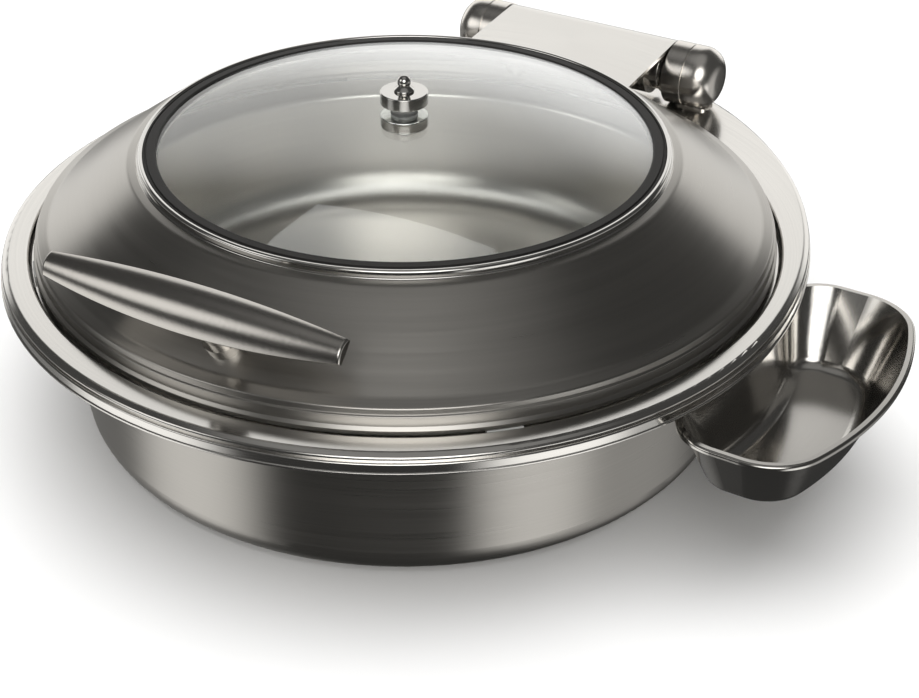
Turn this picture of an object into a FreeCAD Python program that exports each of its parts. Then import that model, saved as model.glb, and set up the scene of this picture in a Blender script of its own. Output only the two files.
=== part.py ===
"""Round chafing dish with a hinged glass lid, a food pan, a leaf handle and a plug-in spoon rest.

Frame: millimetres, +Z up. The origin is the centre of the base's flat underside, on the axis of the
round casing. The handle is on the -Y side, the hinge on the +Y side, the spoon rest on the +X side.
"""
import FreeCAD, Part
import math
import os

os.makedirs("parts", exist_ok=True)
V = FreeCAD.Vector

# ---------------------------------------------------------------- driving dimensions
SHEET = 1.2                     # thickness of the pressed steel sheets

CASING_RADIUS = 176.1           # outer wall of the casing
CASING_FILLET = 16.8            # rounding between wall and base
CASING_FLANGE_RADIUS = 192.0
PLATE_RADIUS = 151.5            # bonded induction plate under the base
PLATE_THICKNESS = 3.0

RIM_HALF_WIDTH = 210.0          # half the rim's width, and the radius of its front half
RIM_CENTRE_Y = -4.0             # centre of the front half
RIM_SIDE_RADIUS = 271.0         # flatter arcs along both sides
RIM_SIDE_ANGLE = 53.7           # how far the side arcs turn before the back arc, degrees
RIM_TOP = 100.6                 # height of the rim's flat top
RIM_BOTTOM = 90.4               # lower edge of the rim's skirt
SKIRT_TOP = 96.4                # top of the skirt, under the crown
CROWN_WIDTH = 8.5               # rounded outer band of the rim's top
SEAT_RADIUS = 197.4             # round recess in the rim, where the lid drops in
SEAT_HEIGHT = 96.0
SEAT_HOLE_RADIUS = 178.5
PLATEAU_HOLE_RADIUS = 200.2

PAN_FLANGE_RADIUS = 191.0
PAN_MOUTH_RADIUS = 171.2
PAN_FLOOR_RADIUS = 165.5
PAN_BOTTOM = 30.0
PAN_FILLET = 24.0
SEAL_THICKNESS = 1.0            # silicone ring under the pan's flange
SEAL_RADII = (181.0, 189.0)
BUFFER_RADII = (192.4, 196.2)   # silicone pads under the lid's edge
BUFFER_TOP = 98.9
BUFFER_ANGLE = 5.0

LID_RADIUS = 195.3              # outer edge of the lid
LID_BOTTOM = 99.2
RING_OUTER = 137.8              # polished ring around the window
RING_INNER = 135.1
RING_TOP = 150.0
RING_FOOT = 145.3               # bottom of the groove between ring and dome
RING_SHELF = 142.4
DOME_START_RADIUS = 139.2       # where the dome's sheet meets the ring
DOME_START_HEIGHT = 145.9
DOME_SHEET = 1.0

GLASS_RADIUS = 132.0
GLASS_CURVE = 480.0             # spherical radius of the glass
GLASS_APEX = 166.5
GLASS_THICKNESS = 4.0
GLASS_HOLE = 4.2
GASKET_LIP = 128.2

HANDLE_HALF_LENGTH = 81.0
HANDLE_Y = -184.0
HANDLE_Z = 144.0
HANDLE_TILT = 45.0              # slope of the leaf's cross-section, degrees
HANDLE_TIP = 5.8                # half the height of the leaf at its tips
HANDLE_UPPER_SWELL = 4.6        # how much further the upper edge reaches at the middle
HANDLE_LOWER_SWELL = 7.6
HANDLE_CROWN = (2.4, 3.6)       # bulge of the outer face at the tips, and its growth to the middle
HANDLE_EDGE = 1.6               # thickness of the leaf at its edges
HANDLE_TIP_THICKER = 2.0
HANDLE_TIP_ROUNDING = 1.4
HANDLE_TURN = 2.5               # how far the leaf is turned about the vertical, degrees
POST_FOOT = (11.0, -174.0, 124.6)   # where the post's axis meets the dome
POST_LEAN = 30.0                # how far the post leans outwards, degrees
POST_RADIUS = 8.0
POST_BURIED = 14.0              # length of the axis below the dome, trimmed away
POST_LENGTH = 60.0
POST_BOSS_RADIUS = 9.8
POST_BOSS_HEIGHT = 3.5

HINGE_Y = 214.0
HINGE_Z = 119.2
HINGE_RADIUS = 18.0             # outside of the hinge plate's curl
HINGE_PLATE_HALF = 55.5
HINGE_PLATE_THICKNESS = 2.0
HINGE_PLATE_DROP = 5.0          # fall of the plate from the hinge to the dome
HINGE_PLATE_FRONT = 150.0
HINGE_CURL_END = 20.0           # the plate's curl ends at this angle above the back
BARREL_RADIUS = 16.0
BARREL_NECK_RADIUS = 12.5
BARREL_HALF = 51.0
BARREL_THICK_HALF = 44.0
BARREL_BORE = 10.0
SHAFT_RADIUS = 4.0
SHAFT_FIT = 0.06                # running clearance of the dampers on the shaft
WASHER_RADIUS = 13.4
WASHER_THICKNESS = 1.2
CAP_RADIUS = 18.5               # fixed rings and caps, just above the rim's top
RING_START = 56.0
CAP_START = 68.0
CAP_END = 86.0
CAP_ROUNDING = 12.0
SHAFT_END = 74.0                # both ends of the shaft sit inside the caps
DAMPER_START = 18.0
DAMPER_END = 50.0
FOOT_CENTRE = 71.0
FOOT_HALF_LENGTH = 10.5
FOOT_HALF_WIDTH = 6.5
FOOT_CORNER = 4.0
BACKING_HALF_LENGTH = 81.0
BACKING_HALF_WIDTH = 7.0
BACKING_THICKNESS = 2.5
MOUNT_HALF = 42.0               # wedge between the dome and the hinge plate
MOUNT_BACK = 182.0

BOWL_TOP = 83.0
BOWL_DEPTH = 37.5
BOWL_SHEET = 1.0
BOWL_FILLET = 8.0               # rounding between the bowl's floor and walls
BOWL_TURNDOWN = 2.2             # height of the lip's turned-down edge
BOWL_OUTER_CENTRE = 90.0        # centre of the bowl's outward side, on the X axis
BOWL_LIP = 3.6                  # width of the lip around the mouth
LIP_ROUNDING = 1.4
# the bowl's outlines: radii of its hollow and outward sides, half its length, radii of its corners
MOUTH = {"hollow": 197.0, "outer": 182.0, "half": 86.0, "inner_corner": 26.0, "outer_corner": 33.0}
FLOOR = {"hollow": 208.0, "outer": 163.0, "half": 62.0, "inner_corner": 14.0, "outer_corner": 22.0}

TONGUE_HALF_WIDTH = 19.0
TONGUE_THICKNESS = 2.0
TONGUE_Z = 72.0
TONGUE_TIP = 179.0
SOCKET_FRONT = 197.5
SOCKET_WALL = 1.5
SOCKET_CLEARANCE = 0.3
SOCKET_EAR = 10.0               # how far the socket's ears reach beyond its slot
SOCKET_BACK = 160.0             # inside the casing, where the casing trims the socket
SOCKET_RIVET_Y = TONGUE_HALF_WIDTH + SOCKET_CLEARANCE + SOCKET_WALL + 4.5
SOCKET_RIVET_RADIUS = 1.5
SOCKET_RIVET_HEAD = (2.5, 1.0)  # radius and height

FOOT_BOTTOM = 58.0              # underside of the tongue's foot
TONGUE_END = 212.0              # beyond the bowl's wall, where the bowl trims it

SCREW_RADIUS = 2.5
SCREW_HEAD_RADIUS = 4.4
SCREW_HEAD_HEIGHT = 2.6
DRIVE_RADIUS = 1.7              # recess in the screw heads
DRIVE_DEPTH = 1.6
FOOT_SCREW_OFFSETS = (-9.5, 3.0)
FOOT_SCREW_BOTTOM = RIM_TOP - SHEET - BACKING_THICKNESS
FOOT_SCREW_TOP = HINGE_Z - 11.0
LID_SCREW_PLACES = ((-26.0, 170.0), (26.0, 170.0), POST_FOOT[:2])
LID_SCREW_REACH = 6.5           # how far the lid's screws reach past the dome's inner face
LID_WASHER_RADIUS = 6.5
LID_WASHER_DEPTH = 5.5

VENT_DISC_RADIUS = 12.4
VENT_DISC_BOTTOM = 170.2
VENT_DISC_TOP = 176.8
VENT_LOWER_HEIGHT = 5.6
VENT_STUD_RADIUS = 3.0
VENT_SEAL = 1.2
VENT_SEAL_RADIUS = 7.0
VENT_COLLAR_RADIUS = 6.4
VENT_NUT_RADIUS = 5.0
VENT_NUT_HEIGHT = 4.2


# ---------------------------------------------------------------- helpers
def save(shape, node):
    """Write one node, after checking that it is sound."""
    if not shape.isValid() or shape.Volume <= 0:
        raise ValueError(node + " is not a sound solid")
    shape.exportStep("parts/" + node + ".step")


def unit(a, b):
    """Direction from one flat point to another."""
    length = math.hypot(b[0] - a[0], b[1] - a[1])
    return ((b[0] - a[0]) / length, (b[1] - a[1]) / length)


def shifted(path, distance):
    """A path of (u, v, rounding) corners moved sideways to its left, with concentric roundings."""
    moved = []
    for index, (u, v, rounding) in enumerate(path):
        ahead = unit(path[index], path[index + 1]) if index + 1 < len(path) else None
        behind = unit(path[index - 1], path[index]) if index > 0 else None
        first = behind or ahead
        last = ahead or behind
        turn = first[0] * last[1] - first[1] * last[0]
        share = distance / (1 + first[0] * last[0] + first[1] * last[1])
        new_rounding = max(0.0, rounding - distance * math.copysign(1.0, turn)) if rounding else 0.0
        moved.append((u - (first[1] + last[1]) * share, v + (first[0] + last[0]) * share, new_rounding))
    return moved


def closed_wire(corners, place):
    """A closed wire through (u, v, rounding) corners; place turns (u, v) into a point in space."""
    edges = []
    count = len(corners)
    ends = []
    for index in range(count):
        u, v, rounding = corners[index]
        into = unit(corners[index - 1], corners[index])
        out = unit(corners[index], corners[(index + 1) % count])
        turn = math.atan2(into[0] * out[1] - into[1] * out[0], into[0] * out[0] + into[1] * out[1])
        if not rounding or abs(turn) < 1e-4:
            ends.append(((u, v), None, (u, v)))
            continue
        reach = rounding * math.tan(abs(turn) / 2)
        start = (u - into[0] * reach, v - into[1] * reach)
        finish = (u + out[0] * reach, v + out[1] * reach)
        side = math.copysign(rounding, turn)
        centre = (start[0] - into[1] * side, start[1] + into[0] * side)
        toward = unit(centre, (u, v))
        middle = (centre[0] + toward[0] * rounding, centre[1] + toward[1] * rounding)
        ends.append((start, middle, finish))
    for index in range(count):
        start, middle, finish = ends[index]
        if middle:
            edges.append(Part.Arc(place(*start), place(*middle), place(*finish)).toShape())
        following = ends[(index + 1) % count][0]
        if math.hypot(following[0] - finish[0], following[1] - finish[1]) > 1e-5:
            edges.append(Part.LineSegment(place(*finish), place(*following)).toShape())
    return Part.Wire(Part.__sortEdges__(edges))


def strip(path, thickness):
    """The closed outline of a sheet that follows a path; a negative thickness lies to its right."""
    return list(path) + list(reversed(shifted(path, thickness)))


def turned(corners, centre=(0.0, 0.0), start=0.0, sweep=360.0):
    """A solid turned about a vertical line from a closed outline of (radius, height, rounding)."""
    def place(radius, height):
        angle = math.radians(start)
        return V(centre[0] + radius * math.cos(angle), centre[1] + radius * math.sin(angle), height)

    face = Part.Face(closed_wire(corners, place))
    return face.revolve(V(centre[0], centre[1], 0), V(0, 0, 1), sweep)


def disc(radius, bottom, top, x=0.0, y=0.0, bore=0.0):
    """A vertical cylinder, or a tube where it has a bore."""
    solid = Part.makeCylinder(radius, top - bottom, V(x, y, bottom))
    if bore:
        solid = solid.cut(Part.makeCylinder(bore, top - bottom, V(x, y, bottom)))
    return solid


def spindle(radius, x_start, x_end, bore=0.0):
    """A cylinder along the hinge axis, or a tube where it has a bore."""
    base = V(x_start, HINGE_Y, HINGE_Z)
    solid = Part.makeCylinder(radius, x_end - x_start, base, V(1, 0, 0))
    if bore:
        solid = solid.cut(Part.makeCylinder(bore, x_end - x_start, base, V(1, 0, 0)))
    return solid


def block(x_range, y_range, z_range):
    """A box between three pairs of coordinates."""
    size = [pair[1] - pair[0] for pair in (x_range, y_range, z_range)]
    return Part.makeBox(size[0], size[1], size[2], V(x_range[0], y_range[0], z_range[0]))


def mirrored(shape):
    """The same piece on the other side of the YZ plane."""
    return shape.mirror(V(0, 0, 0), V(1, 0, 0))


def fused(shapes):
    """One solid from several that touch or overlap."""
    return shapes[0].fuse(shapes[1:]).removeSplitter()


# ---------------------------------------------------------------- the rim's egg-shaped outline
def rim_arcs():
    """The outline's four tangent arcs: (centre, radius, start angle, sweep)."""
    side_shift = RIM_SIDE_RADIUS - RIM_HALF_WIDTH
    turn = math.radians(RIM_SIDE_ANGLE)
    back_shift = side_shift / math.cos(turn)
    back_centre = (0.0, RIM_CENTRE_Y + back_shift * math.sin(turn))
    back_sweep = 180.0 - 2 * RIM_SIDE_ANGLE
    return [((0.0, RIM_CENTRE_Y), RIM_HALF_WIDTH, 180.0, 180.0),
            ((-side_shift, RIM_CENTRE_Y), RIM_SIDE_RADIUS, 0.0, RIM_SIDE_ANGLE),
            (back_centre, RIM_SIDE_RADIUS - back_shift, RIM_SIDE_ANGLE, back_sweep),
            ((side_shift, RIM_CENTRE_Y), RIM_SIDE_RADIUS, 180.0 - RIM_SIDE_ANGLE, RIM_SIDE_ANGLE)]


def rim_band(outline):
    """A closed section of (inset, height, rounding) corners carried around the rim's outline."""
    pieces = []
    for centre, radius, start, sweep in rim_arcs():
        corners = [(radius - inset, height, rounding) for inset, height, rounding in outline]
        pieces.append(turned(corners, centre, start, sweep))
    return fused(pieces)


def rim_face(inset, height):
    """The flat area inside the rim's outline, drawn in by an inset."""
    edges = []
    for centre, radius, start, sweep in rim_arcs():
        circle = Part.Circle(V(centre[0], centre[1], height), V(0, 0, 1), radius - inset)
        edges.append(Part.ArcOfCircle(circle, math.radians(start), math.radians(start + sweep)).toShape())
    return Part.Face(Part.Wire(Part.__sortEdges__(edges)))


# ---------------------------------------------------------------- the lid's surfaces
DOME_PATH = [(DOME_START_RADIUS, DOME_START_HEIGHT, 0.0), (143.6, 145.1, 5.0), (165.0, 129.9, 200.0),
             (186.8, 113.4, 8.0), (192.6, 111.4, 1.2), (192.9, 108.4, 0.5), (194.0, 107.9, 0.5),
             (194.0, 102.8, 0.8), (LID_RADIUS, 101.2, 0.7), (LID_RADIUS, LID_BOTTOM, 0.0)]


def under_dome():
    """All the space under the outside of the dome, from the base up."""
    return turned([(0.0, 0.0, 0.0), (LID_RADIUS, 0.0, 0.0)] + list(reversed(DOME_PATH))
                  + [(0.0, DOME_START_HEIGHT, 0.0)])


def inside_dome():
    """All the space under the inside of the dome's sheet."""
    inner = list(reversed(shifted(DOME_PATH, -DOME_SHEET)))
    return turned([(0.0, 0.0, 0.0), (inner[0][0], 0.0, 0.0)] + inner + [(0.0, inner[-1][1], 0.0)])


OUTSIDE = under_dome()
INSIDE = inside_dome()


def glass_height(radius, depth):
    """Height of the glass at a radius, at a depth below its top surface."""
    curve = GLASS_CURVE - depth
    return GLASS_APEX - GLASS_CURVE + math.sqrt(curve ** 2 - radius ** 2)


# ---------------------------------------------------------------- base
def outer_casing(socket_drill):
    step_out = PLATE_RADIUS + 1.5
    path = [(0.0, PLATE_THICKNESS, 0.0), (PLATE_RADIUS + 0.5, PLATE_THICKNESS, 0.8), (step_out, 0.0, 0.8),
            (CASING_RADIUS, 0.0, CASING_FILLET), (CASING_RADIUS, SEAT_HEIGHT - 2 * SHEET, 1.6),
            (CASING_FLANGE_RADIUS, SEAT_HEIGHT - 2 * SHEET, 0.0)]
    return turned(strip(path, SHEET)).cut(socket_drill)


def rim_frame(drill):
    """Rounded crown, flat top with the round recess, and the recess's floor."""
    crown = rim_band([(1.9, SKIRT_TOP, 0.0), (1.9, 97.2, 0.0), (0.7, 97.9, 0.4), (0.8, 99.0, 1.6),
                      (3.4, RIM_TOP, 3.0), (CROWN_WIDTH, RIM_TOP, 0.0), (CROWN_WIDTH, RIM_TOP - SHEET, 0.0),
                      (4.2, RIM_TOP - SHEET, 1.2), (3.1, 98.4, 0.0), (3.1, SKIRT_TOP, 0.0)])
    top = rim_face(CROWN_WIDTH, RIM_TOP - SHEET).extrude(V(0, 0, SHEET))
    top = top.cut(disc(PLATEAU_HOLE_RADIUS, RIM_TOP - SHEET, RIM_TOP))
    recess_path = [(SEAT_HOLE_RADIUS, SEAT_HEIGHT, 0.0), (SEAT_RADIUS, SEAT_HEIGHT, 1.0),
                   (SEAT_RADIUS + 0.8, RIM_TOP, 1.6), (PLATEAU_HOLE_RADIUS, RIM_TOP, 0.0)]
    recess = turned(strip(recess_path, -SHEET))
    return fused([top, crown, recess]).cut(drill)


def rim_skirt():
    """Outer skirt with an inward flange above and a folded edge below."""
    return rim_band([(9.0, SKIRT_TOP, 0.0), (0.0, SKIRT_TOP, 0.9), (0.0, 91.8, 0.0), (-0.6, 91.5, 0.3),
                     (-0.6, RIM_BOTTOM, 0.4), (2.0, RIM_BOTTOM, 0.3), (2.0, 91.3, 0.0), (0.9, 91.5, 0.0),
                     (0.9, 95.5, 0.0), (9.0, 95.5, 0.0)])


def food_pan():
    """Loose pan that hangs by its flange in the rim's recess."""
    flange = SEAT_HEIGHT + SEAL_THICKNESS
    path = [(0.0, PAN_BOTTOM, 0.0), (PAN_FLOOR_RADIUS, PAN_BOTTOM, PAN_FILLET),
            (PAN_MOUTH_RADIUS, flange, 2.4), (PAN_FLANGE_RADIUS, flange, 0.0)]
    return turned(strip(path, SHEET))


def pan_seal():
    """Flat silicone ring between the pan's flange and the recess's floor."""
    inner, outer = SEAL_RADII
    top = SEAT_HEIGHT + SEAL_THICKNESS
    return turned([(inner, SEAT_HEIGHT, 0.0), (outer, SEAT_HEIGHT, 0.0), (outer, top, 0.3),
                   (inner, top, 0.3)])


def lid_buffers():
    """Four silicone pads on the recess's floor, just under the lid's edge."""
    inner, outer = BUFFER_RADII
    section = [(inner, SEAT_HEIGHT, 0.0), (outer, SEAT_HEIGHT, 0.0), (outer, BUFFER_TOP, 0.6),
               (inner, BUFFER_TOP, 0.6)]
    starts = [45.0 + 90.0 * quarter - BUFFER_ANGLE / 2 for quarter in range(4)]
    return Part.makeCompound([turned(section, start=start, sweep=BUFFER_ANGLE) for start in starts])


# ---------------------------------------------------------------- hinge, fixed side
def foot_screw_places():
    """Centres of the four screws that hold the hinge's feet."""
    return [(side * (FOOT_CENTRE + offset), HINGE_Y) for side in (-1, 1) for offset in FOOT_SCREW_OFFSETS]


def upright_screw(x, y, seat, tip):
    """A screw that points up, with its head below the seat and a round recess in the head."""
    head_bottom = seat - SCREW_HEAD_HEIGHT
    shank = disc(SCREW_RADIUS, seat, tip, x, y)
    head = disc(SCREW_HEAD_RADIUS, head_bottom, seat, x, y)
    recess = disc(DRIVE_RADIUS, head_bottom, head_bottom + DRIVE_DEPTH, x, y)
    return shank.fuse(head).removeSplitter().cut(recess)


def foot_screws():
    """Four screws from below the rim into the hinge's feet, rings and caps."""
    return Part.makeCompound([upright_screw(x, y, FOOT_SCREW_BOTTOM, FOOT_SCREW_TOP)
                              for x, y in foot_screw_places()])


def foot_drill():
    holes = [disc(SCREW_RADIUS, FOOT_SCREW_BOTTOM, FOOT_SCREW_TOP, x, y) for x, y in foot_screw_places()]
    return holes[0].fuse(holes[1:])


def backing_plate(drill):
    """Stiffening plate under the rim's top, below the hinge."""
    plate = block((-BACKING_HALF_LENGTH, BACKING_HALF_LENGTH),
                  (HINGE_Y - BACKING_HALF_WIDTH, HINGE_Y + BACKING_HALF_WIDTH),
                  (RIM_TOP - SHEET - BACKING_THICKNESS, RIM_TOP - SHEET))
    return plate.cut(drill)


def hinge_foot(drill):
    """Low saddle between the rim's top and the round ring and cap."""
    foot = block((FOOT_CENTRE - FOOT_HALF_LENGTH, FOOT_CENTRE + FOOT_HALF_LENGTH),
                 (HINGE_Y - FOOT_HALF_WIDTH, HINGE_Y + FOOT_HALF_WIDTH), (RIM_TOP, HINGE_Z - 10.0))
    upright = [edge for edge in foot.Edges if abs(edge.tangentAt(edge.FirstParameter).z) > 0.9]
    foot = foot.makeFillet(FOOT_CORNER, upright)
    return foot.cut(spindle(CAP_RADIUS, FOOT_CENTRE - 20.0, FOOT_CENTRE + 20.0)).cut(drill)


def hinge_ring(drill):
    """Fixed ring beside the barrel, with a fine groove where the cap begins."""
    profile = [(SHAFT_RADIUS, RING_START, 0.0), (SHAFT_RADIUS, CAP_START, 0.0),
               (CAP_RADIUS - 0.4, CAP_START, 0.0), (CAP_RADIUS, CAP_START - 0.4, 0.0),
               (CAP_RADIUS, RING_START + 0.5, 0.0), (CAP_RADIUS - 0.5, RING_START, 0.0)]
    return about_hinge(profile).cut(drill)


def hinge_cap(drill):
    """Round-ended cap screwed on the shaft's end."""
    profile = [(0.0, SHAFT_END, 0.0), (SHAFT_RADIUS, SHAFT_END, 0.0), (SHAFT_RADIUS, CAP_START, 0.0),
               (CAP_RADIUS - 0.4, CAP_START, 0.0), (CAP_RADIUS, CAP_START + 0.4, 0.0),
               (CAP_RADIUS, CAP_END, CAP_ROUNDING), (0.0, CAP_END, 0.0)]
    return about_hinge(profile).cut(drill)


def about_hinge(profile):
    """A solid turned about the hinge axis from (radius, x, rounding) corners."""
    face = Part.Face(closed_wire(profile, lambda radius, x: V(x, HINGE_Y, HINGE_Z + radius)))
    return face.revolve(V(0, HINGE_Y, HINGE_Z), V(1, 0, 0), 360)


def hinge_washers():
    """Two thin washers on each side, between barrel and ring."""
    washers = []
    for side in (-1, 1):
        for start in (BARREL_HALF + 0.6, BARREL_HALF + 2.9):
            low, high = sorted((side * start, side * (start + WASHER_THICKNESS)))
            washers.append(spindle(WASHER_RADIUS, low, high, SHAFT_RADIUS))
    return Part.makeCompound(washers)


# ---------------------------------------------------------------- hinge, side that lifts with the lid
def plate_top_height(y):
    """Height of the hinge plate's upper face, which falls towards the dome."""
    fall = HINGE_PLATE_DROP * (HINGE_Y - y) / (HINGE_Y - HINGE_PLATE_FRONT)
    return HINGE_Z + HINGE_RADIUS - fall


def hinge_plate(drill):
    """Flat plate from the dome to the hinge, curled around the back of the barrel."""
    length = HINGE_Y - HINGE_PLATE_FRONT
    slope = math.atan2(HINGE_PLATE_DROP, length)
    curl_start = math.pi / 2 + slope
    curl_end = math.radians(HINGE_CURL_END)
    curl_middle = (curl_start + curl_end) / 2
    inner_radius = HINGE_RADIUS - HINGE_PLATE_THICKNESS

    def at(point, along=0.0):
        return V(-HINGE_PLATE_HALF, point[0] - length * along, point[1] - HINGE_PLATE_DROP * along)

    outer = [polar(HINGE_RADIUS, angle) for angle in (curl_start, curl_middle, curl_end)]
    inner = [polar(inner_radius, angle) for angle in (curl_end, curl_middle, curl_start)]
    edges = [Part.LineSegment(at(outer[0], 1.0), at(outer[0])).toShape(),
             Part.Arc(at(outer[0]), at(outer[1]), at(outer[2])).toShape(),
             Part.LineSegment(at(outer[2]), at(inner[0])).toShape(),
             Part.Arc(at(inner[0]), at(inner[1]), at(inner[2])).toShape(),
             Part.LineSegment(at(inner[2]), at(inner[2], 1.0)).toShape(),
             Part.LineSegment(at(inner[2], 1.0), at(outer[0], 1.0)).toShape()]
    plate = Part.Face(Part.Wire(edges)).extrude(V(2 * HINGE_PLATE_HALF, 0, 0))
    return plate.cut(OUTSIDE).cut(disc(RING_OUTER + 4.0, 0.0, GLASS_APEX)).cut(drill)


def polar(radius, angle):
    """A (y, z) point around the hinge axis; zero points to the back."""
    return (HINGE_Y + radius * math.cos(angle), HINGE_Z + radius * math.sin(angle))


def hinge_barrel():
    """Hollow barrel under the plate, with narrower necks at both ends."""
    profile = [(BARREL_BORE, -BARREL_HALF, 0.0), (BARREL_NECK_RADIUS, -BARREL_HALF, 0.6),
               (BARREL_NECK_RADIUS, -BARREL_THICK_HALF, 0.0), (BARREL_RADIUS, -BARREL_THICK_HALF, 0.0),
               (BARREL_RADIUS, BARREL_THICK_HALF, 0.0), (BARREL_NECK_RADIUS, BARREL_THICK_HALF, 0.0),
               (BARREL_NECK_RADIUS, BARREL_HALF, 0.6), (BARREL_BORE, BARREL_HALF, 0.0)]
    return about_hinge(profile)


def mount_block(plate, drill):
    """Wedge that fills the space between the dome and the hinge plate."""
    wedge = block((-MOUNT_HALF, MOUNT_HALF), (HINGE_PLATE_FRONT, MOUNT_BACK),
                  (RIM_TOP, plate_top_height(MOUNT_BACK)))
    slab = block((-60.0, 60.0), (100.0, 240.0), (0.0, 60.0))
    slope = math.degrees(math.atan2(HINGE_PLATE_DROP, HINGE_Y - HINGE_PLATE_FRONT))
    pivot = V(0, HINGE_Y, HINGE_Z + HINGE_RADIUS)
    slab.translate(V(0, 0, HINGE_Z + HINGE_RADIUS - HINGE_PLATE_THICKNESS))
    slab.rotate(pivot, V(1, 0, 0), slope)
    return wedge.cut(slab).cut(OUTSIDE).cut(plate).cut(drill)


def lid_drill():
    """Screw holes through the dome, the mount block and the handle's post."""
    holes = [disc(SCREW_RADIUS, 100.0, 132.5, x, y) for x, y in LID_SCREW_PLACES]
    return holes[0].fuse(holes[1:])


def inner_height(x, y):
    """Height of the dome's inner face above a place."""
    line = Part.LineSegment(V(x, y, 90.0), V(x, y, 160.0)).toShape()
    return line.common(INSIDE).BoundBox.ZMax


def lid_washers(drill):
    """Contoured washers that give the screw heads a flat seat inside the dome."""
    washers = []
    for x, y in LID_SCREW_PLACES:
        bottom = inner_height(x, y) - LID_WASHER_DEPTH
        washers.append(disc(LID_WASHER_RADIUS, bottom, GLASS_APEX, x, y).common(INSIDE).cut(drill))
    return Part.makeCompound(washers)


def lid_screws():
    """Three screws from inside the dome, into the mount block and the handle's post."""
    screws = []
    for x, y in LID_SCREW_PLACES:
        face = inner_height(x, y)
        screws.append(upright_screw(x, y, face - LID_WASHER_DEPTH, face + LID_SCREW_REACH))
    return Part.makeCompound(screws)


# ---------------------------------------------------------------- lid
def window_ring():
    """Polished ring that carries the glass, with a shelf inside."""
    inner = shifted(DOME_PATH, -DOME_SHEET)[0]
    return turned([(127.5, RING_SHELF - SHEET, 0.4), (127.5, RING_SHELF, 0.4), (RING_INNER, RING_SHELF, 0.0),
                   (RING_INNER, RING_TOP, 1.1), (RING_OUTER, RING_TOP, 1.3), (RING_OUTER, RING_FOOT, 0.6),
                   (DOME_START_RADIUS, DOME_START_HEIGHT, 0.0), (inner[0], inner[1], 0.0),
                   (136.8, inner[1], 0.0), (136.8, RING_SHELF - SHEET, 0.4)])


def glass_window():
    """Domed glass with a small hole for the vent."""
    top_edge = glass_height(GLASS_RADIUS, 0.0)
    low_edge = glass_height(GLASS_RADIUS, GLASS_THICKNESS)
    middle = GLASS_RADIUS / 2
    crown = V(GLASS_HOLE, 0, glass_height(GLASS_HOLE, 0.0))
    floor = V(GLASS_HOLE, 0, glass_height(GLASS_HOLE, GLASS_THICKNESS))
    edges = [Part.Arc(crown, V(middle, 0, glass_height(middle, 0.0)), V(GLASS_RADIUS, 0, top_edge)).toShape(),
             Part.LineSegment(V(GLASS_RADIUS, 0, top_edge), V(GLASS_RADIUS, 0, low_edge)).toShape(),
             Part.Arc(V(GLASS_RADIUS, 0, low_edge), V(middle, 0, glass_height(middle, GLASS_THICKNESS)),
                      floor).toShape(),
             Part.LineSegment(floor, crown).toShape()]
    return Part.Face(Part.Wire(edges)).revolve(V(0, 0, 0), V(0, 0, 1), 360)


def glass_gasket(glass):
    """Rubber channel around the edge of the glass, with a groove beside the ring."""
    under_lip = 129.5
    return turned([(RING_INNER, RING_SHELF, 0.0), (RING_INNER, 149.5, 0.3), (134.4, 149.5, 0.2),
                   (134.2, 148.9, 0.0), (133.6, 148.9, 0.0), (133.3, 149.8, 0.3), (128.9, 149.9, 0.4),
                   (GASKET_LIP, glass_height(GASKET_LIP, 0.0), 0.0),
                   (GLASS_RADIUS, glass_height(GLASS_RADIUS, 0.0), 0.0),
                   (GLASS_RADIUS, glass_height(GLASS_RADIUS, GLASS_THICKNESS), 0.0),
                   (under_lip, glass_height(under_lip, GLASS_THICKNESS), 0.0),
                   (under_lip, RING_SHELF, 0.0)]).cut(glass)


# ---------------------------------------------------------------- handle
def leaf_section(x):
    """One cross-section of the leaf: a curved outer face, a flatter inner face and two thin edges."""
    swell = 1 - (x / HANDLE_HALF_LENGTH) ** 2
    upper = HANDLE_TIP + HANDLE_UPPER_SWELL * swell
    lower = HANDLE_TIP + HANDLE_LOWER_SWELL * swell
    tilt = math.radians(HANDLE_TILT)
    edge = HANDLE_EDGE + HANDLE_TIP_THICKER * (1 - swell)

    def at(along, out):
        y = HANDLE_Y + along * math.cos(tilt) - out * math.sin(tilt)
        z = HANDLE_Z + along * math.sin(tilt) + out * math.cos(tilt)
        return V(x, y, z)

    middle = (upper - lower) / 2
    crown = HANDLE_CROWN[0] + HANDLE_CROWN[1] * swell
    hollow = -edge - 0.6
    return Part.Wire([Part.Arc(at(-lower, 0), at(middle, crown), at(upper, 0)).toShape(),
                      Part.LineSegment(at(upper, 0), at(upper, -edge)).toShape(),
                      Part.Arc(at(upper, -edge), at(middle, hollow), at(-lower, -edge)).toShape(),
                      Part.LineSegment(at(-lower, -edge), at(-lower, 0)).toShape()])


def handle():
    """Leaf-shaped grip, lofted along X."""
    half = HANDLE_HALF_LENGTH
    stations = [-half + half * step / 2 for step in range(5)]
    leaf = Part.makeLoft([leaf_section(x) for x in stations], True, False)
    tips = [edge for edge in leaf.Edges if abs(edge.BoundBox.XMin - edge.BoundBox.XMax) < 0.01
            and abs(abs(edge.BoundBox.XMin) - half) < 0.01 and edge.Length > 5.0]
    leaf = leaf.makeFillet(HANDLE_TIP_ROUNDING, tips)
    leaf.rotate(V(0, HANDLE_Y, HANDLE_Z), V(0, 0, 1), HANDLE_TURN)
    return leaf


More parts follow.
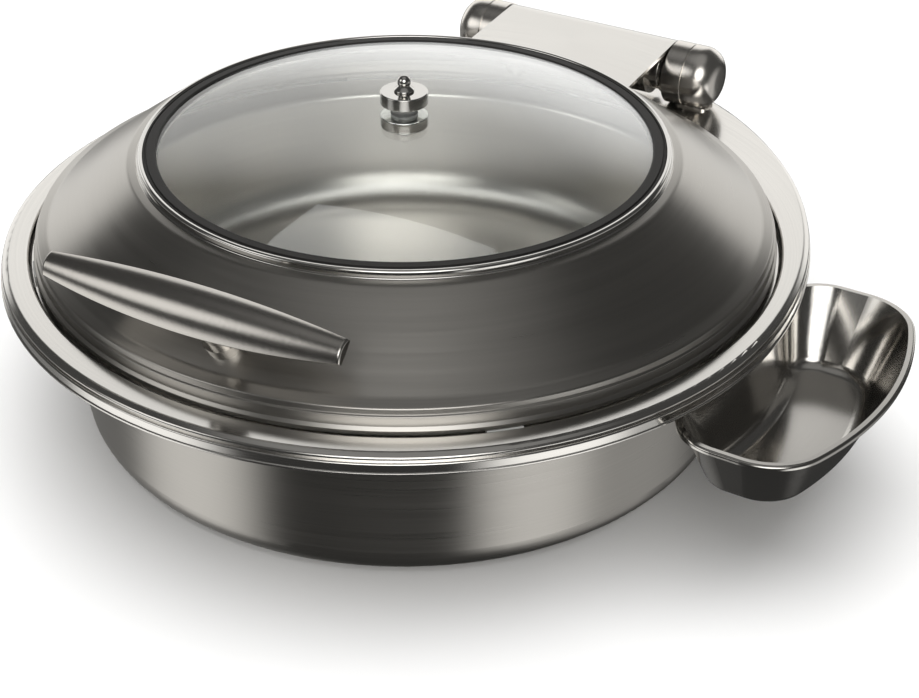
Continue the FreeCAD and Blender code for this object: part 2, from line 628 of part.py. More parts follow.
def handle_post(grip, drill):
    """Round post leaning out from the dome to the back of the leaf, with a wider boss on the dome."""
    lean = math.radians(POST_LEAN)
    outward = V(0, -math.sin(lean), math.cos(lean))
    start = V(*POST_FOOT) - outward * POST_BURIED
    shank = Part.makeCylinder(POST_RADIUS, POST_LENGTH, start, outward)
    boss = Part.makeCylinder(POST_BOSS_RADIUS, POST_BURIED + POST_BOSS_HEIGHT, start, outward)
    tilt = math.radians(HANDLE_TILT)
    back = HANDLE_EDGE + 0.4
    slab = block((-30.0, 60.0), (-60.0, 60.0), (0.0, 60.0))
    slab.rotate(V(0, 0, 0), V(1, 0, 0), HANDLE_TILT)
    slab.translate(V(0, HANDLE_Y + back * math.sin(tilt), HANDLE_Z - back * math.cos(tilt)))
    post = shank.fuse(boss).cut(slab).cut(OUTSIDE).cut(grip).cut(drill)
    solids = sorted(post.Solids, key=lambda solid: solid.Volume)
    return solids[-1]


# ---------------------------------------------------------------- vent in the middle of the glass
def vent_pieces(glass):
    """The stack of turned pieces clamped through the glass, as {node: solid}."""
    glass_low = GLASS_APEX - GLASS_THICKNESS
    upper_seal_top = GLASS_APEX + VENT_SEAL
    stud = VENT_STUD_RADIUS
    lower_top = glass_low - VENT_SEAL
    lower_bottom = lower_top - VENT_LOWER_HEIGHT
    nut_bottom = lower_bottom - VENT_NUT_HEIGHT
    nut = hexagon(VENT_NUT_RADIUS, nut_bottom, lower_bottom).cut(disc(stud, nut_bottom, lower_bottom))
    return {
        "vent_stud": disc(stud, nut_bottom - 0.8, VENT_DISC_TOP + 2.4),
        "vent_upper_seal": disc(VENT_SEAL_RADIUS, GLASS_APEX, upper_seal_top, bore=stud),
        "vent_collar": disc(VENT_COLLAR_RADIUS, upper_seal_top, VENT_DISC_BOTTOM, bore=stud),
        "vent_upper_disc": vent_disc(stud, VENT_DISC_BOTTOM, VENT_DISC_TOP),
        "vent_cap_nut": acorn_nut(stud),
        "vent_lower_seal": disc(VENT_SEAL_RADIUS, lower_top, glass_low, bore=stud).cut(glass),
        "vent_lower_disc": vent_disc(stud, lower_bottom, lower_top),
        "vent_lower_nut": nut,
    }


def vent_disc(bore, bottom, top):
    """Thick round disc with rounded edges."""
    return turned([(bore, bottom, 0.0), (VENT_DISC_RADIUS, bottom, 0.6), (VENT_DISC_RADIUS, top, 0.6),
                   (bore, top, 0.0)])


def acorn_nut(stud):
    """Flared collar with a small ball on top, hollow for the stud's end."""
    base = VENT_DISC_TOP
    ball_centre = base + 5.0
    ball_radius = 3.5
    collar = turned([(0.0, base, 0.0), (5.4, base, 0.4), (5.2, base + 1.0, 0.6), (3.3, base + 2.6, 0.8),
                     (2.6, base + 3.4, 0.0), (0.0, base + 3.4, 0.0)])
    ball = Part.makeSphere(ball_radius, V(0, 0, ball_centre))
    return collar.fuse(ball).removeSplitter().cut(disc(stud, base, base + 2.4))


def hexagon(radius, bottom, top):
    points = [V(radius * math.cos(math.radians(60 * k)), radius * math.sin(math.radians(60 * k)), bottom)
              for k in range(7)]
    return Part.Face(Part.makePolygon(points)).extrude(V(0, 0, top - bottom))


# ---------------------------------------------------------------- spoon rest
def grown(shape, distance):
    """The same kidney outline drawn out by a distance."""
    return {"hollow": shape["hollow"] - distance, "outer": shape["outer"] + distance,
            "half": shape["half"] + distance, "inner_corner": shape["inner_corner"] + distance,
            "outer_corner": shape["outer_corner"] + distance}


def kidney(shape, height):
    """Kidney outline: a hollow side around the casing, an outward side, and two rounded ends."""
    hollow = shape["hollow"]
    outer = shape["outer"]
    half = shape["half"]
    small = shape["inner_corner"]
    large = shape["outer_corner"]
    small_y = half - small
    small_x = math.sqrt((hollow + small) ** 2 - small_y ** 2)
    large_y = half - large
    large_x = BOWL_OUTER_CENTRE + math.sqrt((outer - large) ** 2 - large_y ** 2)
    small_turn = math.atan2(small_y, small_x)
    large_turn = math.atan2(large_y, large_x - BOWL_OUTER_CENTRE)

    def at(x, y):
        return V(x, y, height)

    def around(cx, cy, radius, angle):
        return at(cx + radius * math.cos(angle), cy + radius * math.sin(angle))

    outer_mid = (math.pi / 2 + large_turn) / 2
    inner_mid = (math.pi / 2 + math.pi + small_turn) / 2
    top = [Part.Arc(around(large_x, large_y, large, large_turn), around(large_x, large_y, large, outer_mid),
                    at(large_x, half)),
           Part.LineSegment(at(large_x, half), at(small_x, half)),
           Part.Arc(at(small_x, half), around(small_x, small_y, small, inner_mid),
                    around(small_x, small_y, small, math.pi + small_turn))]
    hollow_arc = Part.Arc(around(0, 0, hollow, small_turn), at(hollow, 0), around(0, 0, hollow, -small_turn))
    bottom = [Part.Arc(around(small_x, -small_y, small, math.pi - small_turn),
                       around(small_x, -small_y, small, -inner_mid), at(small_x, -half)),
              Part.LineSegment(at(small_x, -half), at(large_x, -half)),
              Part.Arc(at(large_x, -half), around(large_x, -large_y, large, -outer_mid),
                       around(large_x, -large_y, large, -large_turn))]
    outer_arc = Part.Arc(around(BOWL_OUTER_CENTRE, 0, outer, -large_turn), at(BOWL_OUTER_CENTRE + outer, 0),
                         around(BOWL_OUTER_CENTRE, 0, outer, large_turn))
    curves = top + [hollow_arc] + bottom + [outer_arc]
    return Part.Wire([curve.toShape() for curve in curves])


def prism(shape, bottom, top):
    return Part.Face(kidney(shape, bottom)).extrude(V(0, 0, top - bottom))


def tapered(mouth, floor, bottom, top, fillet):
    """A kidney-shaped plug that narrows downwards, with a rounded bottom edge."""
    plug = Part.makeLoft([kidney(floor, bottom), kidney(mouth, top)], True, True)
    edges = [edge for edge in plug.Edges if edge.BoundBox.ZMax < bottom + 0.01]
    return plug.makeFillet(fillet, edges)


def level_edges(solid, height):
    """The edges that lie flat at a height."""
    return [edge for edge in solid.Edges
            if abs(edge.BoundBox.ZMin - height) < 0.01 and abs(edge.BoundBox.ZMax - height) < 0.01]


def bowl_outside():
    """The bowl as if it were solid, to trim what touches its outside."""
    lip_in = grown(MOUTH, -BOWL_LIP)
    return tapered(grown(lip_in, BOWL_SHEET), grown(FLOOR, BOWL_SHEET), BOWL_TOP - BOWL_DEPTH - BOWL_SHEET,
                   BOWL_TOP, BOWL_FILLET + BOWL_SHEET)


def spoon_bowl():
    """Pressed bowl with a narrow lip, rounded over and turned down at its edge."""
    inside = tapered(grown(MOUTH, -BOWL_LIP), FLOOR, BOWL_TOP - BOWL_DEPTH, BOWL_TOP, BOWL_FILLET)
    bottom = BOWL_TOP - BOWL_TURNDOWN
    lip = prism(MOUTH, bottom, BOWL_TOP)
    lip = lip.makeFillet(LIP_ROUNDING, level_edges(lip, BOWL_TOP))
    lip = lip.cut(prism(grown(MOUTH, -BOWL_SHEET), bottom, BOWL_TOP - BOWL_SHEET))
    return lip.fuse(bowl_outside()).removeSplitter().cut(inside)


def spoon_tongue():
    """Flat tongue that plugs into the socket, with a foot welded to the bowl's wall."""
    half = TONGUE_HALF_WIDTH
    flat = block((TONGUE_TIP, TONGUE_END), (-half, half), (TONGUE_Z, TONGUE_Z + TONGUE_THICKNESS))
    foot = block((SOCKET_FRONT + SOCKET_WALL, TONGUE_END), (-half, half), (FOOT_BOTTOM, TONGUE_Z))
    return flat.fuse(foot).removeSplitter().cut(bowl_outside())


def spoon_socket(drill):
    """Flat sleeve under the rim, fixed to the casing, that takes the tongue."""
    half = TONGUE_HALF_WIDTH + SOCKET_CLEARANCE
    low = TONGUE_Z - SOCKET_CLEARANCE
    high = TONGUE_Z + TONGUE_THICKNESS + SOCKET_CLEARANCE
    heights = (low - SOCKET_WALL, high + SOCKET_WALL)
    sleeve = block((SOCKET_BACK, SOCKET_FRONT), (-half - SOCKET_WALL, half + SOCKET_WALL), heights)
    ears = block((SOCKET_BACK, CASING_RADIUS + 6.0), (-half - SOCKET_EAR, half + SOCKET_EAR), heights)
    ears = ears.common(disc(CASING_RADIUS + SOCKET_WALL, heights[0], heights[1]))
    slot = block((SOCKET_BACK, SOCKET_FRONT + 1.0), (-half, half), (low, high))
    return fused([sleeve, ears]).cut(disc(CASING_RADIUS, 0.0, RIM_TOP)).cut(slot).cut(drill)


def socket_rivets():
    """Two blind rivets that hold the socket's ears on the casing."""
    head_radius, head_height = SOCKET_RIVET_HEAD
    z = TONGUE_Z + TONGUE_THICKNESS / 2
    rivets = []
    for side in (-1, 1):
        angle = math.asin(side * SOCKET_RIVET_Y / CASING_RADIUS)
        out = V(math.cos(angle), math.sin(angle), 0)
        start = out * (CASING_RADIUS - 2 * SHEET)
        face = out * (CASING_RADIUS + SOCKET_WALL)
        length = 2 * SHEET + SOCKET_WALL + head_height
        shank = Part.makeCylinder(SOCKET_RIVET_RADIUS, length, V(start.x, start.y, z), out)
        head = Part.makeCylinder(head_radius, head_height, V(face.x, face.y, z), out)
        rivets.append(shank.fuse(head).removeSplitter())
    return rivets


# ---------------------------------------------------------------- the whole object
def build():
    holes = foot_drill()
    lid_holes = lid_drill()
    rivets = socket_rivets()
    socket_holes = rivets[0].fuse(rivets[1])
    save(outer_casing(socket_holes), "outer_casing")
    save(disc(PLATE_RADIUS, 0.0, PLATE_THICKNESS), "induction_plate")
    save(rim_frame(holes), "rim_frame")
    save(rim_skirt(), "rim_skirt")
    save(food_pan(), "food_pan")
    save(pan_seal(), "pan_seal")
    save(lid_buffers(), "lid_buffers")
    save(spoon_socket(socket_holes), "spoon_socket")
    save(Part.makeCompound(rivets), "socket_rivets")

    save(backing_plate(holes), "hinge_backing_plate")
    save(foot_screws(), "hinge_foot_screws")
    for make, node in ((hinge_foot, "hinge_foot"), (hinge_ring, "hinge_ring"), (hinge_cap, "hinge_cap")):
        piece = make(holes)
        save(piece, node + "_right")
        save(mirrored(piece), node + "_left")
    save(spindle(SHAFT_RADIUS, -SHAFT_END, SHAFT_END), "hinge_shaft")
    save(hinge_washers(), "hinge_washers")

    plate = hinge_plate(lid_holes)
    save(plate, "hinge_plate")
    save(hinge_barrel(), "hinge_barrel")
    damper = spindle(BARREL_BORE, DAMPER_START, DAMPER_END, SHAFT_RADIUS + SHAFT_FIT)
    save(damper, "hinge_damper_right")
    save(mirrored(damper), "hinge_damper_left")
    save(mount_block(plate, lid_holes), "hinge_mount_block")
    save(lid_washers(lid_holes), "lid_screw_washers")
    save(lid_screws(), "lid_screws")

    save(turned(strip(DOME_PATH, -DOME_SHEET)).cut(lid_holes), "lid_dome")
    save(window_ring(), "window_ring")
    glass = glass_window()
    save(glass, "glass_window")
    save(glass_gasket(glass), "glass_gasket")
    grip = handle()
    save(grip, "handle")
    save(handle_post(grip, lid_holes), "handle_post")
    for node, solid in vent_pieces(glass).items():
        save(solid, node)

    save(spoon_bowl(), "spoon_bowl")
    save(spoon_tongue(), "spoon_tongue")


build()
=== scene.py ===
"""Looks of the round chafing dish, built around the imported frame.

Metres, in the frame's own axes: +Z up, the handle on the -Y side, the hinge on +Y, the spoon rest on +X.
"""
import math

import bmesh
import bpy
from mathutils import Matrix, Vector


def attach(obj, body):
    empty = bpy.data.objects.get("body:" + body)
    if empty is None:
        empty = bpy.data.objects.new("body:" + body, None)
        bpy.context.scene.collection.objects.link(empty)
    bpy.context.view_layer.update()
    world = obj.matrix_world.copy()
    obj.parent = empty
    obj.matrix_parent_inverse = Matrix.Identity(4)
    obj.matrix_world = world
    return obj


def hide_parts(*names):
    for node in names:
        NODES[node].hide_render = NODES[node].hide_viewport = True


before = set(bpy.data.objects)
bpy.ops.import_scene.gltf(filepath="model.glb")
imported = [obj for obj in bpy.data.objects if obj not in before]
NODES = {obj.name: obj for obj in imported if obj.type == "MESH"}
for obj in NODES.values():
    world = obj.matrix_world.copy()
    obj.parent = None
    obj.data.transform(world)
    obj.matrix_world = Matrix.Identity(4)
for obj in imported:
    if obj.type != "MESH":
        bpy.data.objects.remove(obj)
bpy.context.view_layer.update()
MM = 0.001

# ---------------------------------------------------------------- camera and light, driving values
CAMERA_AZIMUTH = 32.0           # degrees from the front towards the spoon rest
CAMERA_PITCH = 32.5             # degrees below the horizon
CAMERA_DISTANCE = 0.8624        # from the casing's axis, along the floor
CAMERA_HEIGHT = 0.5697
CAMERA_ROLL = -0.46
CAMERA_LENS = 71.96
CAMERA_SHIFT = 0.0580

STUDIO_WALL = 0.06              # brightness above the horizon
STUDIO_FLOOR = 0.04             # and below it
STUDIO_HORIZON = (-0.15, 0.10)  # the sines of elevation between which the two meet
STUDIO_PATCHES = [              # azimuth, elevation, full out to, gone at (degrees), brightness
    (212.0, 16.0, 18.0, 30.0, 1.1),
    (244.0, 5.0, 12.0, 23.0, 1.15),
    (180.0, 5.0, 12.0, 23.0, 1.15),
    (32.0, 86.0, 12.0, 40.0, 0.26),
    (32.0, 30.0, 11.0, 28.0, 2.9),
    (-38.0, 26.0, 6.0, 22.0, 1.4),
    (-48.0, -32.0, 6.0, 30.0, 1.25),
    (-100.0, -32.0, 20.0, 50.0, 0.22),
    (77.0, -32.0, 6.0, 26.0, 1.3),
    (112.0, -32.0, 10.0, 44.0, 0.5),
]
FILL_SIZE = 2.9                 # overhead light: side of the square, in metres
FILL_POWER = 76.0
FILL_ELEVATION = 88.0
FILL_DISTANCE = 2.2
FILL_TARGET = 0.08
FLOOR_HALF = 12.0               # half the width of the pale floor

PAN_FLOOR_SHADE = (0.036, 0.058, 0.62)    # painted shade in the pan: darkest at the first height, full colour at the second, factor at the first
GLASS_PAINTED_REFLECTION = (0.0, 0.13, 0.24)      # painted reflection on the window: it starts and is full at these places on Y, and its strength
ROUGH_SHARE = 2.2               # how much more the brush lines swing in roughness than in colour
QUARTER_TURN = 0.25             # highlights stretch across the brush lines


# ---------------------------------------------------------------- node helpers
def new_tree(name):
    """A material with only its output and a Principled shader: (material, tree, shader)."""
    material = bpy.data.materials.new(name)
    material.use_nodes = True
    tree = material.node_tree
    shader = tree.nodes["Principled BSDF"]
    return material, tree, shader


def add(tree, kind, settings=None, **inputs):
    """A node with its settings, and with its inputs set to values or linked to sockets."""
    node = tree.nodes.new(kind)
    for key, value in (settings or {}).items():
        setattr(node, key, value)
    for key, value in inputs.items():
        name = key.replace("_", " ")
        socket = node.inputs[int(name[3:])] if name.startswith("at ") else node.inputs[name]
        if isinstance(value, bpy.types.NodeSocket):
            tree.links.new(value, socket)
        else:
            socket.default_value = value
    return node


def turned_place(tree, lines):
    """Coordinates that change fast across the turning lines and hardly along them."""
    place = add(tree, "ShaderNodeTexCoord").outputs["Object"]
    flat = add(tree, "ShaderNodeVectorMath", {"operation": "MULTIPLY"}, at_0=place, at_1=(1, 1, 0))
    radius = add(tree, "ShaderNodeVectorMath", {"operation": "LENGTH"}, at_0=flat.outputs[0]).outputs["Value"]
    way = add(tree, "ShaderNodeVectorMath", {"operation": "NORMALIZE"}, at_0=flat.outputs[0]).outputs[0]
    height = add(tree, "ShaderNodeSeparateXYZ", None, Vector=place).outputs["Z"]
    across = add(tree, "ShaderNodeMath", {"operation": "ADD"}, at_0=radius, at_1=height).outputs[0]
    scaled = add(tree, "ShaderNodeMath", {"operation": "MULTIPLY"}, at_0=across, at_1=lines).outputs[0]
    around = add(tree, "ShaderNodeSeparateXYZ", None, Vector=way)
    return add(tree, "ShaderNodeCombineXYZ", None, X=around.outputs["X"], Y=around.outputs["Y"],
               Z=scaled).outputs[0]


def straight_place(tree, scale):
    """Coordinates scaled differently along the three axes."""
    place = add(tree, "ShaderNodeTexCoord").outputs["Object"]
    return add(tree, "ShaderNodeVectorMath", {"operation": "MULTIPLY"}, at_0=place, at_1=scale).outputs[0]


def spread(tree, value, low, high):
    """A 0..1 value mapped to a range."""
    return add(tree, "ShaderNodeMapRange", None, Value=value, To_Min=low, To_Max=high).outputs["Result"]


def brushed(name, colour, roughness, place, swing=0.06, anisotropy=0.0, bump=0.00002, stain=0.12,
            radial=False, painted_shade=None):
    """Brushed metal: fine lines in roughness and height, and slow clouds in its colour.

    The last argument is (low height, high height, factor at the low one): painted shade that darkens the
    colour towards a piece's bottom.
    """
    material, tree, shader = new_tree(name)
    lines = place(tree)
    fine = add(tree, "ShaderNodeTexNoise", None, Vector=lines, Scale=1.0, Detail=3.0, Roughness=0.65)
    own = add(tree, "ShaderNodeTexCoord").outputs["Object"]
    cloud = add(tree, "ShaderNodeTexNoise", None, Vector=own, Scale=14.0, Detail=2.0)
    tone = spread(tree, cloud.outputs["Fac"], 1.0 - stain, 1.0 + stain)
    streak = spread(tree, fine.outputs["Fac"], 1.0 - swing, 1.0 + swing)
    both = add(tree, "ShaderNodeMath", {"operation": "MULTIPLY"}, at_0=tone, at_1=streak).outputs[0]
    # painted shade: the colour darkens towards the piece's bottom, as shade falls on the pan's floor
    if painted_shade:
        height = add(tree, "ShaderNodeSeparateXYZ", None, Vector=own).outputs["Z"]
        depth = add(tree, "ShaderNodeMapRange", {"interpolation_type": "SMOOTHSTEP"}, Value=height,
                    From_Min=painted_shade[0], From_Max=painted_shade[1], To_Min=painted_shade[2], To_Max=1.0).outputs["Result"]
        both = add(tree, "ShaderNodeMath", {"operation": "MULTIPLY"}, at_0=both, at_1=depth).outputs[0]
    shade = add(tree, "ShaderNodeVectorMath", {"operation": "SCALE"}, at_0=tuple(colour), Scale=both)
    tree.links.new(shade.outputs[0], shader.inputs["Base Color"])
    rough = spread(tree, fine.outputs["Fac"], roughness * (1 - ROUGH_SHARE * swing),
                   roughness * (1 + ROUGH_SHARE * swing))
    tree.links.new(rough, shader.inputs["Roughness"])
    height = add(tree, "ShaderNodeBump", None, Strength=1.0, Distance=bump, Height=fine.outputs["Fac"])
    tree.links.new(height.outputs["Normal"], shader.inputs["Normal"])
    shader.inputs["Metallic"].default_value = 1.0
    shader.inputs["Anisotropic"].default_value = anisotropy
    if radial:
        shader.inputs["Anisotropic Rotation"].default_value = QUARTER_TURN
        around = add(tree, "ShaderNodeTangent", {"direction_type": "RADIAL", "axis": "Z"})
        tree.links.new(around.outputs[0], shader.inputs["Tangent"])
    return material


def polished(name, colour, roughness, swing=0.4):
    """Near-mirror metal with faint wipe marks."""
    material, tree, shader = new_tree(name)
    place = add(tree, "ShaderNodeTexCoord").outputs["Object"]
    marks = add(tree, "ShaderNodeTexNoise", None, Vector=place, Scale=35.0, Detail=4.0, Roughness=0.6)
    cloud = add(tree, "ShaderNodeTexNoise", None, Vector=place, Scale=9.0, Detail=1.0)
    tone = spread(tree, cloud.outputs["Fac"], 0.94, 1.06)
    shade = add(tree, "ShaderNodeVectorMath", {"operation": "SCALE"}, at_0=tuple(colour), Scale=tone)
    tree.links.new(shade.outputs[0], shader.inputs["Base Color"])
    rough = spread(tree, marks.outputs["Fac"], roughness * (1 - swing), roughness * (1 + swing))
    tree.links.new(rough, shader.inputs["Roughness"])
    height = add(tree, "ShaderNodeBump", None, Strength=1.0, Distance=0.00001, Height=marks.outputs["Fac"])
    tree.links.new(height.outputs["Normal"], shader.inputs["Normal"])
    shader.inputs["Metallic"].default_value = 1.0
    return material


def moulded(name, colour, roughness, grain=900.0, bump=0.00003):
    """Rubber or silicone with a fine grain."""
    material, tree, shader = new_tree(name)
    place = add(tree, "ShaderNodeTexCoord").outputs["Object"]
    marks = add(tree, "ShaderNodeTexNoise", None, Vector=place, Scale=grain, Detail=2.0)
    tone = spread(tree, marks.outputs["Fac"], 0.85, 1.15)
    shade = add(tree, "ShaderNodeVectorMath", {"operation": "SCALE"}, at_0=tuple(colour), Scale=tone)
    tree.links.new(shade.outputs[0], shader.inputs["Base Color"])
    rough = spread(tree, marks.outputs["Fac"], roughness - 0.06, roughness + 0.06)
    tree.links.new(rough, shader.inputs["Roughness"])
    height = add(tree, "ShaderNodeBump", None, Strength=1.0, Distance=bump, Height=marks.outputs["Fac"])
    tree.links.new(height.outputs["Normal"], shader.inputs["Normal"])
    shader.inputs["Specular IOR Level"].default_value = 0.3
    return material


def clear_glass(name):
    """Clear window glass that lets lamps shine through to the pan; its far half carries a white diffuse layer
    of painted reflection in place of the sky mirrored in the glass.
    """
    material, tree, shader = new_tree(name)
    place = add(tree, "ShaderNodeTexCoord").outputs["Object"]
    film = add(tree, "ShaderNodeTexNoise", None, Vector=place, Scale=22.0, Detail=3.0)
    rough = spread(tree, film.outputs["Fac"], 0.0, 0.03)
    tree.links.new(rough, shader.inputs["Roughness"])
    shader.inputs["Base Color"].default_value = (0.965, 0.985, 0.975, 1.0)
    shader.inputs["Transmission Weight"].default_value = 1.0
    shader.inputs["IOR"].default_value = 1.5
    # painted reflection: a white diffuse layer fades in over the far half of the window
    depth = add(tree, "ShaderNodeSeparateXYZ", None, Vector=place).outputs["Y"]
    reflection_mask = add(tree, "ShaderNodeMapRange", {"interpolation_type": "SMOOTHSTEP"}, Value=depth,
               From_Min=GLASS_PAINTED_REFLECTION[0], From_Max=GLASS_PAINTED_REFLECTION[1], To_Max=GLASS_PAINTED_REFLECTION[2]).outputs["Result"]
    painted_reflection = add(tree, "ShaderNodeBsdfDiffuse", None, Color=(0.9, 0.9, 0.9, 1.0))
    pane = add(tree, "ShaderNodeMixShader", None, at_0=reflection_mask, at_1=shader.outputs[0], at_2=painted_reflection.outputs[0])
    through = add(tree, "ShaderNodeBsdfTransparent", None, Color=(0.92, 0.93, 0.93, 1.0))
    ray = add(tree, "ShaderNodeLightPath")
    mix = add(tree, "ShaderNodeMixShader", None, at_0=ray.outputs["Is Shadow Ray"], at_1=pane.outputs[0],
              at_2=through.outputs[0])
    tree.links.new(mix.outputs[0], tree.nodes["Material Output"].inputs["Surface"])
    return material


# ---------------------------------------------------------------- materials
STEEL = (0.46, 0.445, 0.42)
RIM_STEEL = (0.72, 0.705, 0.68)
PAN_STEEL = (0.90, 0.87, 0.83)
HINGE_STEEL = (0.80, 0.77, 0.73)
HANDLE_STEEL = (0.55, 0.53, 0.50)
FASTENER_STEEL = (0.55, 0.54, 0.52)
BOWL_STEEL = (0.58, 0.565, 0.54)
MIRROR_STEEL = (0.68, 0.67, 0.65)


def around_axis(lines):
    """Brush lines around the axis; lines is how fine they are, in noise cells per metre."""
    return lambda tree: turned_place(tree, lines)


def straight(along, across, up):
    """Straight brush lines, in noise cells per metre on each axis."""
    return lambda tree: straight_place(tree, (along, across, up))


MATERIALS = {
    "lid_steel": brushed("lid_steel", STEEL, 0.30, around_axis(1400.0), swing=0.10, anisotropy=0.55,
                         bump=0.000012, stain=0.05, radial=True),
    "casing_steel": brushed("casing_steel", STEEL, 0.30, around_axis(1100.0), swing=0.12, anisotropy=0.55,
                            bump=0.000014, stain=0.05, radial=True),
    "rim_steel": brushed("rim_steel", RIM_STEEL, 0.17, around_axis(1300.0), swing=0.10, anisotropy=0.35,
                         bump=0.000006, stain=0.03, radial=True),
    # the pan's colour carries painted shade, darker towards its floor
    "pan_steel": brushed("pan_steel", PAN_STEEL, 0.31, around_axis(1100.0), swing=0.05, anisotropy=0.35,
                         bump=0.000004, stain=0.04, radial=True, painted_shade=PAN_FLOOR_SHADE),
    "plate_steel": brushed("plate_steel", STEEL, 0.38, straight(60.0, 1500.0, 1500.0), swing=0.08),
    "hinge_steel": brushed("hinge_steel", HINGE_STEEL, 0.24, straight(1500.0, 90.0, 90.0), swing=0.08),
    "handle_steel": brushed("handle_steel", HANDLE_STEEL, 0.24, straight(60.0, 1200.0, 1200.0),
                            bump=0.000008),
    "fastener_steel": brushed("fastener_steel", FASTENER_STEEL, 0.3, straight(900.0, 900.0, 200.0),
                              swing=0.1),
    "polished_steel": polished("polished_steel", MIRROR_STEEL, 0.08),
    "glass": clear_glass("window_glass"),
    "black_rubber": moulded("black_rubber", (0.012, 0.0115, 0.011), 0.55),
    "grey_silicone": moulded("grey_silicone", (0.30, 0.30, 0.29), 0.5),
}

NODE_SLOTS = {}                 # each CAD node's material slot
for node_name, node_object in NODES.items():
    for slot in node_object.material_slots:
        NODE_SLOTS[node_name] = slot.material.name.split(".")[0]
        slot.material = MATERIALS[slot.material.name.split(".")[0]]
for slot in NODES["spoon_bowl"].material_slots:
    slot.material = brushed("bowl_steel", BOWL_STEEL, 0.16, straight(1100.0, 60.0, 300.0), swing=0.05,
                            bump=0.000004)


# ---------------------------------------------------------------- turned pieces, in millimetres
TURN_STEPS = 288                # divisions around a turned piece
ARC_STEP = 9.0                  # degrees of a rounding between two points of the outline
SHARP_ANGLE = 32.0              # edges that turn more than this stay sharp, degrees

SHEET = 1.2                     # thickness of the pan's sheet
DOME_SHEET = 1.0
# The outlines are (radius, height, rounding) corners; the cap's are (radius, place along the hinge, rounding).
DOME_PATH = [(139.2, 145.9, 0.0), (143.6, 145.1, 5.0), (165.0, 129.9, 200.0), (186.8, 113.4, 8.0),
             (192.6, 111.4, 1.2), (192.9, 108.4, 0.5), (194.0, 107.9, 0.5), (194.0, 102.8, 0.8),
             (195.3, 101.2, 0.7), (195.3, 99.2, 0.0)]
HINGE_Y = 214.0
HINGE_Z = 119.2
CAP_PATH = [(0.0, 74.0, 0.0), (4.0, 74.0, 0.0), (4.0, 68.0, 0.0), (18.1, 68.0, 0.0), (18.5, 68.4, 0.3),
            (18.5, 86.0, 12.0), (0.0, 86.0, 0.0)]
PAN_PATH = [(0.0, 30.0, 0.0), (165.5, 30.0, 24.0), (171.2, 97.0, 2.4), (191.0, 97.0, 0.0)]


def unit(a, b):
    """Direction from one flat point to another."""
    length = math.hypot(b[0] - a[0], b[1] - a[1])
    return ((b[0] - a[0]) / length, (b[1] - a[1]) / length)


def shifted(path, distance):
    """A path of (radius, height, rounding) corners moved sideways to its left, with concentric roundings."""
    moved = []
    for index, (u, v, rounding) in enumerate(path):
        ahead = unit(path[index], path[index + 1]) if index + 1 < len(path) else None
        behind = unit(path[index - 1], path[index]) if index > 0 else None
        first = behind or ahead
        last = ahead or behind
        turn = first[0] * last[1] - first[1] * last[0]
        share = distance / (1 + first[0] * last[0] + first[1] * last[1])
        new_rounding = max(0.0, rounding - distance * math.copysign(1.0, turn)) if rounding else 0.0
        moved.append((u - (first[1] + last[1]) * share, v + (first[0] + last[0]) * share, new_rounding))
    return moved


def strip(path, thickness):
    """The closed outline of a sheet that follows a path; a negative thickness lies to its right."""
    return list(path) + list(reversed(shifted(path, thickness)))


def rounded(corners):
    """Points along a closed outline of (radius, height, rounding) corners."""
    points = []
    for index, (u, v, rounding) in enumerate(corners):
        into = unit(corners[index - 1], corners[index])
        out = unit(corners[index], corners[(index + 1) % len(corners)])
        turn = math.atan2(into[0] * out[1] - into[1] * out[0], into[0] * out[0] + into[1] * out[1])
        if not rounding or abs(turn) < 1e-4:
            points.append((u, v))
            continue
        reach = rounding * math.tan(abs(turn) / 2)
        side = math.copysign(rounding, turn)
        start = (u - into[0] * reach, v - into[1] * reach)
        centre = (start[0] - into[1] * side, start[1] + into[0] * side)
        arm = (start[0] - centre[0], start[1] - centre[1])
        steps = max(4, math.ceil(math.degrees(abs(turn)) / ARC_STEP))
        for step in range(steps + 1):
            swing = turn * step / steps
            points.append((centre[0] + arm[0] * math.cos(swing) - arm[1] * math.sin(swing),
                           centre[1] + arm[0] * math.sin(swing) + arm[1] * math.cos(swing)))
    return points


def lathe(node, body, slot_name, corners, place=None):
    """A smooth turned piece that stands for a CAD node; place is a matrix that carries it off the Z axis."""
    work = bmesh.new()
    rings = []
    for radius, height in rounded(corners):
        if radius < 1e-6:
            rings.append([work.verts.new((0.0, 0.0, height * MM))] * TURN_STEPS)
            continue
        rings.append([work.verts.new((radius * MM * math.cos(math.tau * step / TURN_STEPS),
                                      radius * MM * math.sin(math.tau * step / TURN_STEPS), height * MM))
                      for step in range(TURN_STEPS)])
    for low, high in zip(rings, rings[1:] + rings[:1]):
        for step in range(TURN_STEPS):
            after = (step + 1) % TURN_STEPS
            around = [low[step], low[after], high[after], high[step]]
            loop = [vertex for index, vertex in enumerate(around) if vertex is not around[index - 1]]
            if len(loop) > 2:
                work.faces.new(loop)
    if place:
        bmesh.ops.transform(work, matrix=place, verts=work.verts)
    bmesh.ops.recalc_face_normals(work, faces=work.faces)
    mesh = bpy.data.meshes.new(node + "_turned")
    work.to_mesh(mesh)
    work.free()
    mesh.shade_smooth()
    mesh.set_sharp_from_angle(angle=math.radians(SHARP_ANGLE))
    mesh.materials.append(MATERIALS[slot_name])
    piece = bpy.data.objects.new(node + "_turned", mesh)
    bpy.context.scene.collection.objects.link(piece)
    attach(piece, body)
    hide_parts(node)
    return piece


